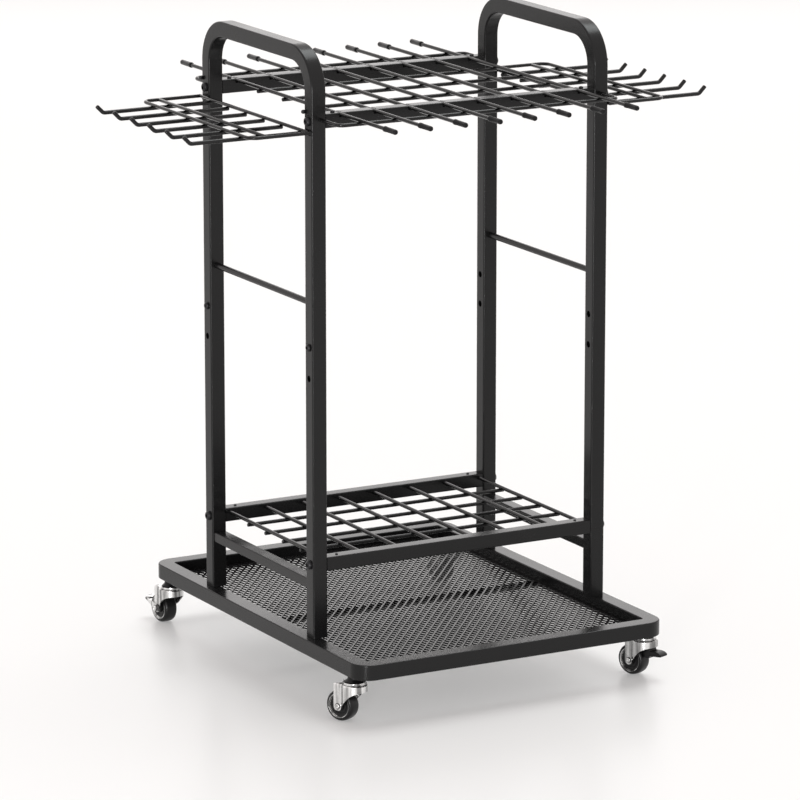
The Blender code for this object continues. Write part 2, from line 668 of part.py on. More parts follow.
def wheel_shape():
    half = WHEEL_WIDTH / 2
    hub = half - RECESS_DEPTH
    shoulder = (half - WHEEL_SHOULDER, WHEEL_RADIUS - WHEEL_SHOULDER)
    rounding = arc(shoulder, WHEEL_SHOULDER, 0, 90, WHEEL_SHOULDER_STEPS)
    near = [
        (AXLE / 2 + GAP, half),
        (HUB_RADIUS, half),
        (HUB_RADIUS, hub),
        (RECESS_RADIUS, hub),
        (RECESS_RADIUS, half),
        *[(radius, along) for along, radius in rounding],
    ]
    far = [(radius, -along) for radius, along in reversed(near)]
    return turned(near + far, WHEEL_STEPS, "X")


def axle_shape(head_from):
    """Riveted axle; head_from is the distance from the middle to each head's inner face."""
    end = head_from + AXLE_HEAD_HEIGHT
    crown = AXLE_HEAD / 2 * AXLE_HEAD_CROWN
    return turned([
        (0, end),
        (crown, end),
        (AXLE_HEAD / 2, head_from),
        (AXLE / 2, head_from),
        (AXLE / 2, -head_from),
        (AXLE_HEAD / 2, -head_from),
        (crown, -end),
        (0, -end),
    ], AXLE_STEPS, "X")


def build_fork_lever(name, holder, zinc):
    """Pedal behind the wheel on two arms that turn on the axle; drawn round the axle."""
    inner = LEG_OUTER + GAP
    outer = inner + FORK_SHEET
    eye = arc((0, 0), FORK_EYE, *FORK_EYE_ARC, FORK_EYE_STEPS)
    pedal_top = PEDAL_RISE + PEDAL_THICK
    arm_rear = PEDAL_BRIDGE + FORK_EYE
    arm = [
        *eye,
        (PEDAL_BRIDGE, PEDAL_RISE - PEDAL_THICK),
        (arm_rear, PEDAL_RISE),
        (arm_rear, pedal_top),
        (PEDAL_BRIDGE, pedal_top),
    ]
    plan = [
        (outer, PEDAL_BRIDGE),
        (outer, arm_rear),
        (PEDAL_TIP / 2, PEDAL_REACH),
        (-PEDAL_TIP / 2, PEDAL_REACH),
        (-outer, arm_rear),
        (-outer, PEDAL_BRIDGE),
    ]
    pedal = plate(plan, [], PEDAL_RISE, pedal_top)
    lever = make_object(name, pedal, holder, zinc, (0, TRAIL, WHEEL_RADIUS))
    join(lever, merged(side_plate(arm, inner, outer), side_plate(arm, -outer, -inner)))
    cut(lever, rod_x((0, 0), AXLE / 2 + GAP, -outer - OVERCUT, outer + OVERCUT, AXLE_STEPS))


def build_block_lever(name, holder, plastic):
    """Brake block that hangs in front of the wheel, with a pedal; drawn round its own cross pin."""
    half = BLOCK_WIDTH / 2
    back = BLOCK_PIVOT_Y + BLOCK_HEEL
    top = BLOCK_PIVOT_Z - BLOCK_TOP_DROP
    front = 2 * GAP - math.sqrt((YOKE_DISH - SHEET) ** 2 - half ** 2)
    tip = -BLOCK_REACH
    outline = [
        (back, BLOCK_BOTTOM),
        (back, BLOCK_BOTTOM + BLOCK_HEEL_HEIGHT),
        (BLOCK_PIVOT_Y + BLOCK_BROW, top),
        (front, top),
        (front, top - YOKE_SKIRT),
        (tip + BLOCK_PEDAL_ROUND, BLOCK_BOTTOM + BLOCK_PEDAL_TOP),
        (tip, BLOCK_BOTTOM + BLOCK_PEDAL_TIP),
        (tip + BLOCK_PEDAL_ROUND, BLOCK_BOTTOM + BLOCK_PEDAL_BOTTOM),
        (front, BLOCK_BOTTOM + BLOCK_CHIN),
        (front + BLOCK_CHIN_SLOPE, BLOCK_BOTTOM),
    ]
    local = [(y - BLOCK_PIVOT_Y, z - BLOCK_PIVOT_Z) for y, z in outline]
    block = side_plate(local, -half, half)
    lever = make_object(name, block, holder, plastic, (0, BLOCK_PIVOT_Y, BLOCK_PIVOT_Z))
    wall_y = abs(BLOCK_PIVOT_Y) + BLOCK_PIN / 2
    pin_half = math.sqrt((YOKE_DISH - SHEET) ** 2 - wall_y ** 2) - 2 * GAP
    join(lever, rod_x((0, 0), BLOCK_PIN / 2, -pin_half, pin_half, BOLT_STEPS))


def build_caster(cart, zinc, plastic, name, sign_x, sign_y, brake=None):
    place = (sign_x * STEM_X, sign_y * STEM_Y, 0)
    make_object(f"{name}_caster_stem", stem_shape(), cart, zinc, place)
    holder = empty(f"{name}_swivel", cart, place, CASTER_TURN[name])
    build_yoke(f"{name}_caster_yoke", holder, zinc)
    centre = (0, TRAIL, WHEEL_RADIUS)
    make_object(f"{name}_wheel", wheel_shape(), holder, plastic, centre)
    head_from = LEG_OUTER + GAP
    if brake == "fork":
        head_from += FORK_SHEET + GAP
        build_fork_lever(f"{name}_brake_lever", holder, zinc)
    if brake == "block":
        build_block_lever(f"{name}_brake_lever", holder, plastic)
    make_object(f"{name}_axle", axle_shape(head_from), holder, zinc, centre)


def main():
    clear_scene()
    black = material("black_powder_coat", (0.02, 0.02, 0.021), 0.4, 0.0)
    mesh_black = material("black_expanded_metal", (0.03, 0.03, 0.031), 0.35, 0.0)
    plastic = material("black_plastic", (0.015, 0.015, 0.016), 0.5, 0.0)
    zinc = material("zinc_plate", (0.72, 0.72, 0.7), 0.25, 1.0)
    dark = material("black_bolt", (0.03, 0.03, 0.032), 0.3, 1.0)

    cart = empty("cart", None, (0, CART_Y, 0))
    build_tray(cart, black, mesh_black)
    for name, sign in (("left", -1), ("right", 1)):
        build_side_frame(cart, black, name, sign)
        build_hook_rack(cart, black, name, sign)
    build_rails(cart, black)
    build_bolts(cart, dark)
    build_lower_grid(cart, black)
    build_top_grid(cart, black, plastic)
    build_caster(cart, zinc, plastic, "front_left", -1, -1)
    build_caster(cart, zinc, plastic, "front_right", 1, -1, "block")
    build_caster(cart, zinc, plastic, "back_left", -1, 1, "fork")
    build_caster(cart, zinc, plastic, "back_right", 1, 1)


main()
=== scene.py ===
"""Garden tool cart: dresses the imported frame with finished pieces, finishes, floor, lamps and camera.

Laid out as an add-on and run as a script. Sizes are in metres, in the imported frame's own space, apart from
outlines and turned profiles, whose points are in millimetres.
"""

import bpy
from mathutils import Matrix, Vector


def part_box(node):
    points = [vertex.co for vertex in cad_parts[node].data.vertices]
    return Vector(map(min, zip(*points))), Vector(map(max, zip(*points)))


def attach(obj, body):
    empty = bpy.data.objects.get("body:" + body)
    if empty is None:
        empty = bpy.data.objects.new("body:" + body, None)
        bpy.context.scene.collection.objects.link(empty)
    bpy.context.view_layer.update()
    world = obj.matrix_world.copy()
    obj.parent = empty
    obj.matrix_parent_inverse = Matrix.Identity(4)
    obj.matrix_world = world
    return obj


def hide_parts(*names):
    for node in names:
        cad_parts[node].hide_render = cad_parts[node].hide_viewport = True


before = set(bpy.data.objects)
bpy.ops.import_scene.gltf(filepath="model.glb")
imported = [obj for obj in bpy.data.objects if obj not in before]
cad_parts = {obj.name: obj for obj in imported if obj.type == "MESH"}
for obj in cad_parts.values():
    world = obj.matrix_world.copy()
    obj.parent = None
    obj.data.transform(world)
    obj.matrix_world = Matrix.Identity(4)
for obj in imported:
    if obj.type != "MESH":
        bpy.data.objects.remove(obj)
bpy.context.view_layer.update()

import math
from contextlib import contextmanager

import bmesh
import bpy
from bpy.props import FloatProperty, FloatVectorProperty, IntProperty, PointerProperty
from mathutils import Vector

bl_info = {
    "name": "Garden Tool Cart",
    "version": (1, 0, 0),
    "blender": (4, 5, 0),
    "location": "View3D > Sidebar > Tool Cart",
    "description": "Builds a rolling garden tool cart, its finishes and its studio",
    "category": "Object",
}

MM = 0.001
UP, DOWN = Vector((0, 0, 1)), Vector((0, 0, -1))
RIGHT, LEFT = Vector((1, 0, 0)), Vector((-1, 0, 0))
BACK, FRONT = Vector((0, 1, 0)), Vector((0, -1, 0))
ENDS = ("front", "back")

# Places that the frame gives
RIM_LOW, RIM_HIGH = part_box("tray_rim")
SIDE_LOW, SIDE_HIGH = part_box("right_side_frame")
CART_Y = (RIM_LOW.y + RIM_HIGH.y) / 2          # the tray's middle
TRAY_HALF = (RIM_HIGH.y - RIM_LOW.y) / 2       # from there to the tray's front and back faces
FRAME_HALF = (SIDE_HIGH.y - SIDE_LOW.y) / 2    # and to the side frames' front and back faces
POST_FACE = SIDE_HIGH.x                        # the posts' outer faces
RAIL_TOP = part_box("front_top_rail")[1].z
TOP_WIRE_Z = RAIL_TOP - 2.25 * MM              # the middle of the top grid's long wires

# Posts and wires
SPARE_HOLE_Z = 412 * MM
MID_BOLT_Z = 451.5 * MM
WIRES = 8                   # long wires in each grid
LOWER_PITCH = 53 * MM
TOP_PITCH = 48.5 * MM       # of the top grid's wires, and of the hooks
WELD = 0.4 * MM             # how far crossed wires sink into each other

# Casters, in millimetres; a caster is made at the origin, and trails towards the back
TRAIL = 18                  # from the stem back to the axle
WHEEL = 20                  # radius
AXLE = Vector((0, TRAIL * MM, WHEEL * MM))
YOKE_HALF = 11              # from the wheel's middle to the outer faces of the yoke's legs
AIR = 0.3                   # between pieces that touch
LEVER_SHEET = 1.5
CASTERS = (                 # name, degrees from straight back towards the left, and kind of brake
    ("front_left", 25, None),
    ("front_right", 20, "block"),
    ("back_left", 6, "fork"),
    ("back_right", 12, None),
)


def at(x, y, z):
    """A point of the frame, with y counted from the tray's middle."""
    return Vector((x, y + CART_Y, z))


def first_of(count, pitch):
    """Where an evenly spaced row starts, when its middle is at zero."""
    return -(count - 1) * pitch / 2


def arc(centre, radius, start, end, steps):
    """Points on a circle of an outline, between two angles in degrees."""
    angles = [math.radians(start + (end - start) * step / steps) for step in range(steps + 1)]
    across, up = centre
    return [(across + radius * math.cos(angle), up + radius * math.sin(angle)) for angle in angles]


def both_sides(half):
    """A whole turned profile from its right half, which starts at the axis."""
    return [(-place, radius) for place, radius in half] + [
        (place, radius) for place, radius in reversed(half) if place]


# Shader maths


class Value:
    """A node's output that takes part in Python expressions."""

    def __init__(self, nodes, socket):
        self.nodes, self.socket = nodes, socket

    def math(self, operation, first, second):
        return self.nodes.node("ShaderNodeMath", {"operation": operation}, {0: first, 1: second})

    def __add__(self, other):
        return self.math("ADD", self, other)

    __radd__ = __add__

    def __sub__(self, other):
        return self.math("SUBTRACT", self, other)

    def __rsub__(self, other):
        return self.math("SUBTRACT", other, self)

    def __mul__(self, other):
        return self.math("MULTIPLY", self, other)

    __rmul__ = __mul__

    def larger(self, other):
        return self.math("MAXIMUM", self, other)


class Nodes:
    """A node tree, and what is added to it."""

    def __init__(self, tree):
        self.tree = tree

    def feed(self, node, sockets):
        """Gives a node's inputs their values or links."""
        for key, value in sockets.items():
            if isinstance(value, Value):
                self.tree.links.new(value.socket, node.inputs[key])
            else:
                node.inputs[key].default_value = value

    def node(self, kind, settings=None, sockets=None, output=0):
        """Any node, from its type, its settings or ramp stops, and its inputs."""
        made = self.tree.nodes.new(kind)
        for name, value in (settings or {}).items():
            if name == "stops":
                while len(made.color_ramp.elements) < len(value):
                    made.color_ramp.elements.new(1)
                for element, (place, level) in zip(made.color_ramp.elements, value):
                    element.position = place
                    element.color = (level, level, level, 1)
            else:
                setattr(made, name, value)
        self.feed(made, sockets or {})
        return Value(self, made.outputs[output])

    def seen(self):
        """1 for what is seen, straight or in metal and glass, and 0 for what only lights the cart."""
        camera, glossy, clear = (
            self.node("ShaderNodeLightPath", output=f"Is {kind} Ray")
            for kind in ("Camera", "Glossy", "Transmission"))
        return camera.larger(glossy).larger(clear)


class Paint(Nodes):
    """One material and its nodes."""

    def __init__(self, name, **sockets):
        self.material = bpy.data.materials.new(name)
        self.material.use_nodes = True
        super().__init__(self.material.node_tree)
        self.shader = self.tree.nodes["Principled BSDF"]
        self.feed(self.shader, {key.replace("_", " "): value for key, value in sockets.items()})

    def noise(self, scale, detail=2.0, stretch=(1, 1, 1)):
        spot = self.node("ShaderNodeTexCoord", output="Object")
        place = self.node("ShaderNodeMapping", {}, {"Vector": spot, "Scale": stretch})
        return self.node("ShaderNodeTexNoise", {}, {"Vector": place, "Scale": scale, "Detail": detail})

    def ramp(self, factor, *stops):
        return self.node("ShaderNodeValToRGB", {"stops": stops}, {"Fac": factor})

    def mix(self, factor, first, second):
        """A colour between two; sockets 6 and 7 and output 2 are the node's colours."""
        return self.node("ShaderNodeMix", {"data_type": "RGBA"}, {0: factor, 6: first, 7: second}, 2)

    def bump(self, height, strength, distance):
        sockets = {"Height": height, "Strength": strength, "Distance": distance}
        self.feed(self.shader, {"Normal": self.node("ShaderNodeBump", {}, sockets)})


def shade(colour, factor=1.0):
    return (*(part * factor for part in colour), 1.0)


# Finishes


def powder_coat(name, look, grain=1500.0, depth=0.35, sheen=1.0):
    """Baked powder: fine orange peel, slightly uneven gloss and faint lighter specks."""
    paint = Paint(name, Specular_IOR_Level=look.coat_specular * sheen)
    cloud = paint.noise(14.0, 3.0)
    peel = paint.noise(grain)
    specks = paint.ramp(paint.noise(2600.0, 1.0), (0.66, 0.0), (0.74, 1.0))
    base = paint.mix(cloud, shade(look.coat_colour, 0.8), shade(look.coat_colour, 1.25))
    paint.feed(paint.shader, {
        "Base Color": paint.mix(specks * 0.35, base, shade(look.coat_colour, 3.0)),
        "Roughness": cloud * 0.10 + (look.coat_roughness - 0.05) + peel * 0.04})
    paint.bump(peel, depth, 0.06 * MM)


def wire_coat(name, look):
    """Dipped wire: smoother and glossier than the tubes, with slow waves along it."""
    paint = Paint(name, Coat_Roughness=0.14, Specular_IOR_Level=look.wire_specular)
    wave = paint.noise(90.0)
    grain = paint.noise(1900.0, 1.0)
    paint.feed(paint.shader, {
        "Base Color": paint.mix(wave, shade(look.coat_colour, 0.75), shade(look.coat_colour, 1.2)),
        "Roughness": wave * 0.12 + (look.wire_roughness - 0.06),
        "Coat Weight": wave * 0.2 + look.wire_coat})
    paint.bump(wave * 0.8 + grain * 0.2, 0.25, 0.1 * MM)


def moulded(name, look, roughness, grain, sheen=1.0):
    """Moulded black plastic with a fine spark-eroded grain."""
    paint = Paint(name, Specular_IOR_Level=look.plastic_specular * sheen)
    fine = paint.noise(grain)
    slow = paint.noise(60.0)
    paint.feed(paint.shader, {
        "Base Color": paint.mix(slow, shade(look.plastic_colour, 0.8), shade(look.plastic_colour, 1.3)),
        "Roughness": roughness + slow * 0.1 + fine * 0.05})
    paint.bump(fine, 0.3, 0.05 * MM)


def zinc(name, look):
    """Bright zinc plate: light crystal clouding, drawing lines and duller spots, and painted reflections:
    vertical light and dark bands in the colour stand in for reflected surroundings.
    """
    paint = Paint(name)
    cloud = paint.noise(220.0, 3.0)
    # Painted reflection: vertical streaks make the plating's colour light and dark in bands, as reflections
    # of the surroundings would.
    painted_reflection_bands = paint.ramp(paint.noise(150.0, 1.0, (1, 1, 0.05)), (0.4, 0.0), (0.58, 1.0))
    lines = paint.noise(900.0, 1.0, (1, 1, 0.08))
    dull = paint.ramp(paint.noise(120.0), (0.55, 0.0), (0.75, 1.0))
    clouding_and_painted_reflections = cloud * 0.3 + painted_reflection_bands * 0.7
    paint.feed(paint.shader, {
        "Base Color": paint.mix(clouding_and_painted_reflections, shade(look.zinc_colour, 0.16), shade(look.zinc_colour, 1.4)),
        "Metallic": 1.0 - dull * 0.12,
        "Roughness": look.zinc_roughness + dull * 0.14 + lines * 0.08})
    paint.bump(lines, 0.12, 0.05 * MM)


def oxide(name, look):
    """Blackened steel of the bolts."""
    paint = Paint(name)
    cloud = paint.noise(500.0)
    paint.feed(paint.shader, {
        "Base Color": paint.mix(cloud, shade(look.bolt_colour, 0.7), shade(look.bolt_colour, 1.4)),
        "Metallic": 0.85 - cloud * 0.2, "Roughness": 0.26 + cloud * 0.16})
    paint.bump(cloud, 0.1, 0.04 * MM)


FINISHES = {
    "black_powder_coat": (powder_coat, {}),
    "black_expanded_metal": (powder_coat, {"grain": 900.0, "depth": 0.2, "sheen": 0.7}),
    "black_wire": (wire_coat, {}),
    "black_plastic_cap": (moulded, {"roughness": 0.26, "grain": 2400.0, "sheen": 0.7}),
    "black_bolt": (oxide, {}),
    "zinc_plate": (zinc, {}),
    "black_wheel": (moulded, {"roughness": 0.24, "grain": 1500.0}),
}


def finish(slot):
    """The material of one of the finish slots, made on first use."""
    name = slot + "_finish"
    if name not in bpy.data.materials:
        maker, settings = FINISHES[slot]
        maker(name, bpy.context.scene.cart_finish, **settings)
    return bpy.data.materials[name]


# Bench tools


def fresh():
    if bpy.context.mode != "OBJECT":
        bpy.ops.object.mode_set(mode="OBJECT")
    bpy.ops.object.select_all(action="DESELECT")


def only(*pieces):
    fresh()
    for piece in pieces:
        piece.select_set(True)
    bpy.context.view_layer.objects.active = pieces[0]


def settled():
    """The active object, with its place, turn and scale moved into its mesh."""
    bpy.ops.object.transform_apply(location=True, rotation=True, scale=True)
    return bpy.context.view_layer.objects.active


def pick_all():
    bpy.ops.mesh.select_all(action="SELECT")


@contextmanager
def editing(piece):
    only(piece)
    bpy.ops.object.mode_set(mode="EDIT")
    pick_all()
    yield
    bpy.ops.object.mode_set(mode="OBJECT")


def push(step):
    """Extrudes what is selected."""
    bpy.ops.mesh.extrude_region_move(TRANSFORM_OT_translate={"value": step})


def faces_out():
    pick_all()
    bpy.ops.mesh.normals_make_consistent(inside=False)


def pick(kind, test):
    """Selects only the verts, edges or faces of the edited mesh that pass a test."""
    bpy.ops.mesh.select_mode(type=kind)
    bpy.ops.mesh.select_all(action="DESELECT")
    mesh = bmesh.from_edit_mesh(bpy.context.edit_object.data)
    for item in {"VERT": mesh.verts, "EDGE": mesh.edges, "FACE": mesh.faces}[kind]:
        if test(item):
            item.select_set(True)
    bmesh.update_edit_mesh(bpy.context.edit_object.data)


def sharp(edge):
    return len(edge.link_faces) == 2 and edge.calc_face_angle() > math.radians(50)


def along(edge, way):
    return abs((edge.verts[1].co - edge.verts[0].co).normalized().dot(way)) > 0.999


def round_edges(piece, amount, segments=3, test=sharp):
    with editing(piece):
        pick("EDGE", test)
        bpy.ops.mesh.bevel(offset=amount, segments=segments, affect="EDGES", clamp_overlap=True)


def block(low, high):
    fresh()
    low, high = Vector(low), Vector(high)
    bpy.ops.mesh.primitive_cube_add(size=1, location=(low + high) / 2)
    bpy.context.object.scale = high - low
    return settled()


def border(low, high, width, corner=0.0):
    """A flat frame that fills a box: a sheet with its middle cut out, raised to its height."""
    fresh()
    middle = (low + high) / 2
    bpy.ops.mesh.primitive_plane_add(size=1, location=(middle.x, middle.y, low.z))
    bpy.context.object.scale = (high.x - low.x, high.y - low.y, 1)
    piece = settled()
    with editing(piece):
        if corner:
            bpy.ops.mesh.bevel(offset=corner, segments=12, affect="VERTICES")
        bpy.ops.mesh.inset(thickness=width)
        bpy.ops.mesh.delete(type="FACE")
        pick_all()
        push((0, 0, high.z - low.z))
        faces_out()
    return piece


def modify(piece, kind, **settings):
    """Adds a modifier and applies it."""
    only(piece)
    step = piece.modifiers.new(kind.title(), kind)
    for name, value in settings.items():
        setattr(step, name, value)
    bpy.ops.object.modifier_apply(modifier=step.name)
    return piece


def row(piece, count, step):
    """Copies a piece in a row, each copy a fixed step after the last, all in one mesh."""
    return modify(piece, "ARRAY", count=count, use_relative_offset=False, use_constant_offset=True,
                  constant_offset_displace=step)


def soften(piece, width, angle):
    """Takes the sharpness off the edges that are steeper than an angle."""
    return modify(piece, "BEVEL", width=width, segments=2, limit_method="ANGLE",
                  angle_limit=math.radians(angle))


def carve(piece, tool):
    modify(piece, "BOOLEAN", object=tool, operation="DIFFERENCE", solver="EXACT")
    bpy.data.objects.remove(tool)
    return piece


def joined(*pieces):
    only(*pieces)
    bpy.ops.object.join()
    return pieces[0]


def copied(piece, step):
    """A copy with its own mesh, moved by a step."""
    only(piece)
    bpy.ops.object.duplicate(linked=False)
    bpy.ops.transform.translate(value=step)
    return settled()


def mirrored(piece, axis="X"):
    """A copy on the other side of the cart's middle."""
    only(piece)
    bpy.ops.object.duplicate(linked=False)
    twin = bpy.context.view_layer.objects.active
    if axis == "X":
        twin.scale.x = -1
    else:
        twin.scale.y = -1
        twin.location.y = 2 * CART_Y
    twin = settled()
    with editing(twin):
        faces_out()
    return twin


def dress(piece, name, slot, nodes=(), body="frame", angle=35, flat=False):
    """Gives a finished piece its name, shading, finish and body, and the nodes that it stands for.

    Flat keeps wide faces flat beside their rounded edges.
    """
    only(piece)
    bpy.ops.object.shade_smooth_by_angle(angle=math.radians(angle))
    if flat:
        modify(piece, "WEIGHTED_NORMAL", keep_sharp=True, weight=80)
    piece.name = name
    piece.data.materials.clear()
    piece.data.materials.append(finish(slot))
    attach(piece, body)
    if nodes:
        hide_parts(*nodes)
    return piece


class Run:
    """A ring of edges that is pushed along and bent round, as wire or tube is on a bench.

    It is round, or square with rounded corners where corner says how much.
    """

    def __init__(self, start, way, size, sides=14, corner=None):
        fresh()
        self.spot, self.way = Vector(start), Vector(way)
        turn = UP.rotation_difference(self.way).to_euler()
        if corner is None:
            bpy.ops.mesh.primitive_circle_add(
                vertices=sides, radius=size / 2, location=start, rotation=turn)
        else:
            bpy.ops.mesh.primitive_plane_add(size=size, location=start, rotation=turn)
        self.piece = settled()
        bpy.ops.object.mode_set(mode="EDIT")
        bpy.ops.mesh.select_mode(type="VERT")
        pick_all()
        if corner is not None:
            bpy.ops.mesh.bevel(offset=corner, segments=4, affect="VERTICES")
            bpy.ops.mesh.delete(type="ONLY_FACE")
            pick_all()

    def go(self, length):
        push(self.way * length)
        self.spot += self.way * length
        return self

    def turn(self, toward, radius, angle=90, steps=8):
        centre = self.spot + toward * radius
        swing = math.radians(angle)
        bpy.ops.mesh.spin(steps=steps, angle=swing, center=centre, axis=toward.cross(self.way))
        self.spot = centre - toward * radius * math.cos(swing) + self.way * radius * math.sin(swing)
        self.way = self.way * math.cos(swing) + toward * math.sin(swing)
        return self

    def narrow(self, factor):
        bpy.ops.transform.resize(value=(factor,) * 3, center_override=self.spot)
        return self

    def ring(self, length, radius, before):
        """Pushes the ring on and gives it a new radius; before is the old one."""
        return self.go(length).narrow(radius / before)

    def open(self):
        """The tube, with open ends."""
        faces_out()
        bpy.ops.object.mode_set(mode="OBJECT")
        return self.piece

    def close(self, tip=0.0):
        """The wire, with closed ends whose edges are rounded by tip."""
        pick_all()
        bpy.ops.mesh.fill_holes(sides=0)
        faces_out()
        if tip:
            pick("FACE", lambda face: len(face.verts) > 4)
            bpy.ops.mesh.region_to_loop()
            bpy.ops.mesh.bevel(offset=tip, segments=3, affect="EDGES")
        bpy.ops.object.mode_set(mode="OBJECT")
        return self.piece


def plate(outline, way, start, thickness):
    """A plate square to UP or RIGHT, drawn point by point and given its thickness, all in millimetres."""
    fresh()
    points = [Vector((first * MM, second * MM, start * MM) if way == UP
                     else (start * MM, first * MM, second * MM)) for first, second in outline]
    bpy.ops.mesh.primitive_plane_add(size=MM, location=points[0])
    piece = settled()
    bpy.ops.object.mode_set(mode="EDIT")
    bpy.ops.mesh.select_mode(type="VERT")
    pick_all()
    bpy.ops.mesh.merge(type="CENTER")
    for here, there in zip(points, points[1:]):
        push(there - here)
    pick_all()
    bpy.ops.mesh.edge_face_add()
    push(way * thickness * MM)
    faces_out()
    bpy.ops.object.mode_set(mode="OBJECT")
    return piece


def turned(start, way, profile, sides=32):
    """Solid turned round an axis; the profile is a list of (place along the axis, radius) in millimetres.

    A profile that ends where it began makes a hoop.
    """
    place, radius = profile[0]
    run = Run(Vector(start) + way * place * MM, way, 2 * radius * MM, sides)
    for further, wider in profile[1:]:
        run.ring((further - place) * MM, wider, radius)
        place, radius = further, wider
    if profile[0] == profile[-1]:
        pick_all()
        bpy.ops.mesh.remove_doubles(threshold=0.005 * MM)
    return run.close()


def bolt(spot, way, head, height, shank):
    """Button-head screw with a round recess; its head stands on the spot and points along the way."""
    neck, brow, crown = 0.55, 0.86, 0.62    # widths of the shank and the dome, as shares of the head's
    spot = Vector(spot)
    run = Run(spot - way * shank, way, head * neck, 24).go(shank).narrow(1 / neck)
    run.go(height * 0.45).ring(height * 0.35, brow, 1).ring(height * 0.2, crown, brow)
    piece = run.close()
    tip = spot + way * height
    with editing(piece):
        pick("FACE", lambda face: len(face.verts) > 12
             and (face.calc_center_median() - tip).length < 0.1 * MM)
        bpy.ops.mesh.inset(thickness=head * 0.09)
        push(-way * height * 0.5)
    return piece


# Settings


class CartSizes(bpy.types.PropertyGroup):
    """Sizes of the finished pieces that the frame's boxes don't give."""

    post: FloatProperty(
        name="Post", description="Width of the square tube", default=20 * MM, unit="LENGTH")
    post_corner: FloatProperty(
        name="Post corner", description="Rounding of the tube's edges", default=2.2 * MM, unit="LENGTH")
    post_wall: FloatProperty(
        name="Post wall", description="Thickness of the tube's wall", default=1.2 * MM, unit="LENGTH")
    handle_bend: FloatProperty(
        name="Handle bend", description="Radius of the handle at the tube's centre", default=45 * MM,
        unit="LENGTH")
    bolt_hole: FloatProperty(
        name="Bolt hole", description="Width of the holes at mid height", default=8.4 * MM, unit="LENGTH")
    rim_width: FloatProperty(
        name="Rim width", description="Width of the tray's rim", default=22 * MM, unit="LENGTH")
    rim_corner: FloatProperty(
        name="Rim corner", description="Outer radius of the tray's corners", default=25 * MM, unit="LENGTH")
    edge: FloatProperty(
        name="Edge rounding", description="Rounding of rails, bars and rim", default=1.6 * MM,
        unit="LENGTH")
    mesh_columns: IntProperty(name="Mesh columns", description="Diamonds across the tray", default=34)
    mesh_rows: IntProperty(name="Mesh rows", description="Diamonds from front to back", default=38)
    strand: FloatProperty(
        name="Strand", description="Half the width of one strand", default=1.5 * MM, unit="LENGTH")
    strand_thick: FloatProperty(
        name="Strand thickness", description="Thickness of the mesh", default=1.5 * MM, unit="LENGTH")
    strand_tilt: FloatProperty(
        name="Strand tilt", description="Rise and fall of a strand's edges", default=1.2 * MM,
        unit="LENGTH")
    wire: FloatProperty(
        name="Wire", description="Thickness of the grids' wire", default=4.9 * MM, unit="LENGTH")
    rack_wire: FloatProperty(
        name="Rack wire", description="Thickness of the racks' wire", default=4.5 * MM, unit="LENGTH")
    hook_wire: FloatProperty(
        name="Hook wire", description="Thickness of the hooks", default=5.3 * MM, unit="LENGTH")


class CartFinish(bpy.types.PropertyGroup):
    """Colours and gloss."""

    coat_colour: FloatVectorProperty(
        name="Coat", description="Colour of the black powder coat", default=(0.006, 0.006, 0.0062),
        subtype="COLOR")
    coat_roughness: FloatProperty(name="Coat roughness", description="Gloss of the tubes", default=0.24)
    coat_specular: FloatProperty(
        name="Coat specular", description="Strength of the coat's sheen", default=0.28)
    wire_roughness: FloatProperty(name="Wire roughness", description="Gloss of the wires", default=0.22)
    wire_specular: FloatProperty(
        name="Wire specular", description="Strength of the wires' sheen", default=0.2)
    wire_coat: FloatProperty(
        name="Wire coat", description="Least weight of the clear skin on the wires", default=0.15)
    plastic_colour: FloatVectorProperty(
        name="Plastic", description="Colour of caps and wheels", default=(0.006, 0.006, 0.0064),
        subtype="COLOR")
    plastic_specular: FloatProperty(
        name="Plastic specular", description="Strength of the plastic's sheen", default=0.3)
    zinc_colour: FloatVectorProperty(
        name="Zinc", description="Colour of the casters' plating", default=(0.66, 0.66, 0.655),
        subtype="COLOR")
    zinc_roughness: FloatProperty(name="Zinc roughness", description="Gloss of the plating", default=0.2)
    bolt_colour: FloatVectorProperty(
        name="Bolts", description="Colour of the blackened bolts", default=(0.03, 0.03, 0.032),
        subtype="COLOR")


class CartStudio(bpy.types.PropertyGroup):
    """Camera, floor and lamps."""

    lens: FloatProperty(name="Lens", description="Focal length in millimetres", default=235.5)
    distance: FloatProperty(
        name="Distance", description="From the camera to the point it looks at", default=6.7057,
        unit="LENGTH")
    azimuth: FloatProperty(
        name="Azimuth", description="Turn of the camera round the cart", default=math.radians(-28.84),
        subtype="ANGLE")
    elevation: FloatProperty(
        name="Elevation", description="Angle at which the camera looks down",
        default=math.radians(13.362), subtype="ANGLE")
    look_height: FloatProperty(
        name="Look height", description="Height of the point it looks at", default=0.3322, unit="LENGTH")
    look_side: FloatProperty(
        name="Look side", description="Sideways place of that point", default=-0.0052, unit="LENGTH")
    floor_colour: FloatVectorProperty(
        name="Floor", description="Colour of the floor", default=(0.91, 0.882, 0.873), subtype="COLOR")
    floor_glow: FloatProperty(
        name="Floor glow", description="Share of plain white in the floor that is seen", default=0.28)
    floor_roughness: FloatProperty(
        name="Floor roughness", description="Roughness of the floor", default=0.3)
    floor_specular: FloatProperty(
        name="Floor specular", description="Strength of the floor's sheen", default=0.22)
    fill: FloatProperty(name="Fill", description="Strength of the light from all round", default=0.55)
    fill_colour: FloatVectorProperty(
        name="Fill colour", description="Colour of that light", default=(1.0, 0.958, 0.945),
        subtype="COLOR")
    top: FloatProperty(name="Top", description="Strength of the wide lamp overhead", default=1.4)
    top_colour: FloatVectorProperty(
        name="Top colour", description="Colour of the lamp overhead", default=(0.95, 1.0, 1.0),
        subtype="COLOR")
    top_spread: FloatProperty(
        name="Top spread", description="Width of the lamp overhead", default=math.radians(36),
        subtype="ANGLE")
    back: FloatProperty(name="Back", description="Power of the wide lamp behind", default=28.0)
    key: FloatProperty(name="Key", description="Power of the tall lamp at the left", default=60.0)


# Stage and pieces


